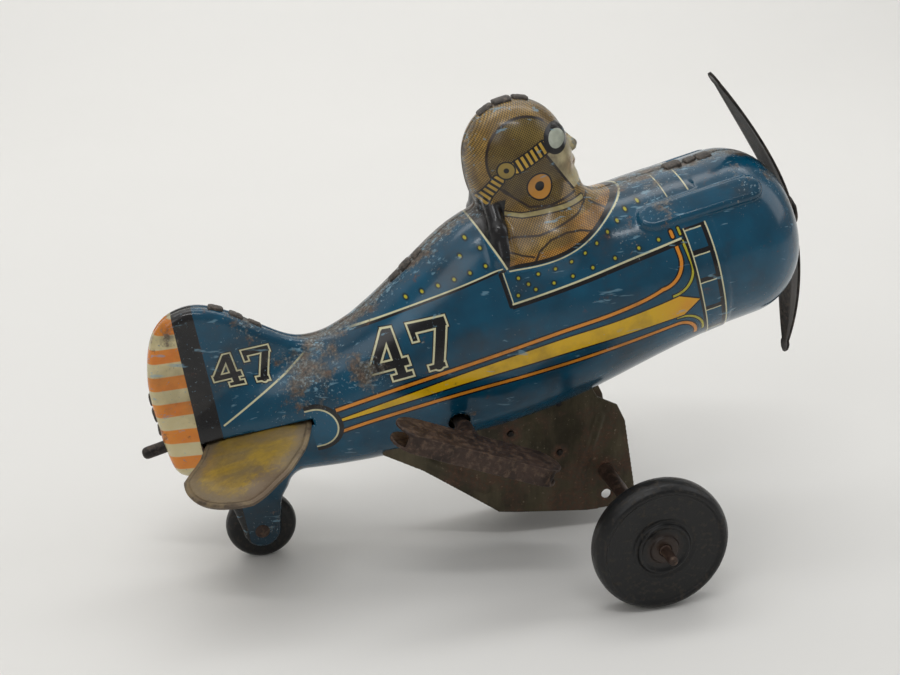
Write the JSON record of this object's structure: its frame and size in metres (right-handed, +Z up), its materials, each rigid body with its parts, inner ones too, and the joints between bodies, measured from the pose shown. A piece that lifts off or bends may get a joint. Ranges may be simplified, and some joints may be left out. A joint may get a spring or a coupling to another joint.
{
  "type": "clockwork toy aeroplane",
  "caption": "Tinplate clockwork toy aeroplane: two pressed fuselage halves with a pilot, winding key, gear train, free propeller, driven front wheels and a tail wheel.",
  "frame": {"origin": "on the ground under the middle of the object's box", "axes": "+X forward to the propeller, +Y to the aeroplane's left along the front axle, +Z up"},
  "size_m": [0.1663, 0.108, 0.1104],
  "materials": {
    "petrol_tinplate": "semi-gloss lithographed tinplate, worn",
    "yellow_tinplate": "semi-gloss lithographed tinplate, worn",
    "olive_steel": "dull oxidised sheet steel with rust",
    "rusty_steel": "rusted mild steel",
    "dark_steel": "dark oxidised steel",
    "black_composition": "satin black moulded composition",
    "brass_wheelwork": "dull brass",
    "spring_steel": "oiled blued spring steel"
  },
  "bodies": {
    "airframe": {"fuselage_right": "petrol_tinplate", "fuselage_left": "petrol_tinplate", "tailplane": "yellow_tinplate", "motor_plate_right": "olive_steel", "motor_plate_left": "olive_steel", "plate_pillars": "dark_steel", "mainspring": "spring_steel", "tail_rivet": "dark_steel", "nose_bearing": "dark_steel"},
    "front_axle_set": {"front_axle": "rusty_steel", "axle_pinion": "brass_wheelwork", "axle_sleeve_right": "rusty_steel", "axle_sleeve_left": "rusty_steel", "front_wheel_right": "black_composition", "front_wheel_left": "black_composition"},
    "tail_wheel_set": {"tail_wheel": "black_composition"},
    "winding_set": {"winding_key": "rusty_steel", "winding_arbor": "dark_steel", "ratchet_wheel": "dark_steel"},
    "great_wheel_set": {"great_wheel": "brass_wheelwork"},
    "click_set": {"click": "dark_steel"},
    "second_set": {"second_wheel": "brass_wheelwork", "second_pinion": "dark_steel", "second_arbor": "dark_steel"},
    "third_set": {"third_wheel": "brass_wheelwork", "third_pinion": "dark_steel", "third_arbor": "dark_steel"},
    "escape_set": {"escape_wheel": "brass_wheelwork", "escape_pinion": "dark_steel", "escape_arbor": "dark_steel"},
    "pallet_set": {"pallet": "dark_steel", "pallet_arbor": "dark_steel"},
    "propeller_set": {"propeller": "dark_steel", "propeller_shaft": "dark_steel", "shaft_collar": "dark_steel"},
    "brake_set": {"brake_rod": "rusty_steel"}
  },
  "joints": [
    {"name": "front_axle_spin", "type": "hinge", "parent": "airframe", "child": "front_axle_set", "pos_m": [0.0291, 0, 0.016], "axis": [0, 1, 0], "continuous": true},
    {"name": "third_wheel_spin", "type": "hinge", "parent": "airframe", "child": "third_set", "pos_m": [0.01707, 0, 0.02245], "axis": [0, 1, 0], "continuous": true},
    {"name": "second_wheel_spin", "type": "hinge", "parent": "airframe", "child": "second_set", "pos_m": [0.00442, 0, 0.02923], "axis": [0, 1, 0], "continuous": true},
    {"name": "great_wheel_spin", "type": "hinge", "parent": "airframe", "child": "great_wheel_set", "pos_m": [-0.00946, 0, 0.03667], "axis": [0, 1, 0], "continuous": true},
    {"name": "escape_wheel_spin", "type": "hinge", "parent": "airframe", "child": "escape_set", "pos_m": [0.01661, 0, 0.03574], "axis": [0, 1, 0], "continuous": true},
    {"name": "winding_key_turn", "type": "hinge", "parent": "airframe", "child": "winding_set", "pos_m": [-0.00946, 0, 0.03667], "axis": [0, 1, 0], "continuous": true},
    {"name": "click_lift", "type": "hinge", "parent": "great_wheel_set", "child": "click_set", "pos_m": [-0.00886, 0, 0.04627], "axis": [0, 1, 0], "range_deg": [-8, 0]},
    {"name": "pallet_rock", "type": "hinge", "parent": "airframe", "child": "pallet_set", "pos_m": [0.01461, 0, 0.04534], "axis": [0, 1, 0], "range_deg": [-6, 6]},
    {"name": "tail_wheel_spin", "type": "hinge", "parent": "airframe", "child": "tail_wheel_set", "pos_m": [-0.0571, 0, 0.00865], "axis": [0, 1, 0], "continuous": true},
    {"name": "propeller_spin", "type": "hinge", "parent": "airframe", "child": "propeller_set", "pos_m": [0.07962, 0, 0.07775], "axis": [0.9659, 0, 0.2588], "continuous": true},
    {"name": "brake_rod_slide", "type": "slide", "parent": "airframe", "child": "brake_set", "axis": [0.9659, 0, 0.2588], "range_m": [0, 0.004]}
  ],
  "couplings": [
    {"joint": "third_wheel_spin", "follows": "front_axle_spin", "ratio": -0.3},
    {"joint": "second_wheel_spin", "follows": "front_axle_spin", "ratio": 0.084375},
    {"joint": "great_wheel_spin", "follows": "front_axle_spin", "ratio": -0.021094},
    {"joint": "escape_wheel_spin", "follows": "front_axle_spin", "ratio": 1.125}
  ]
}
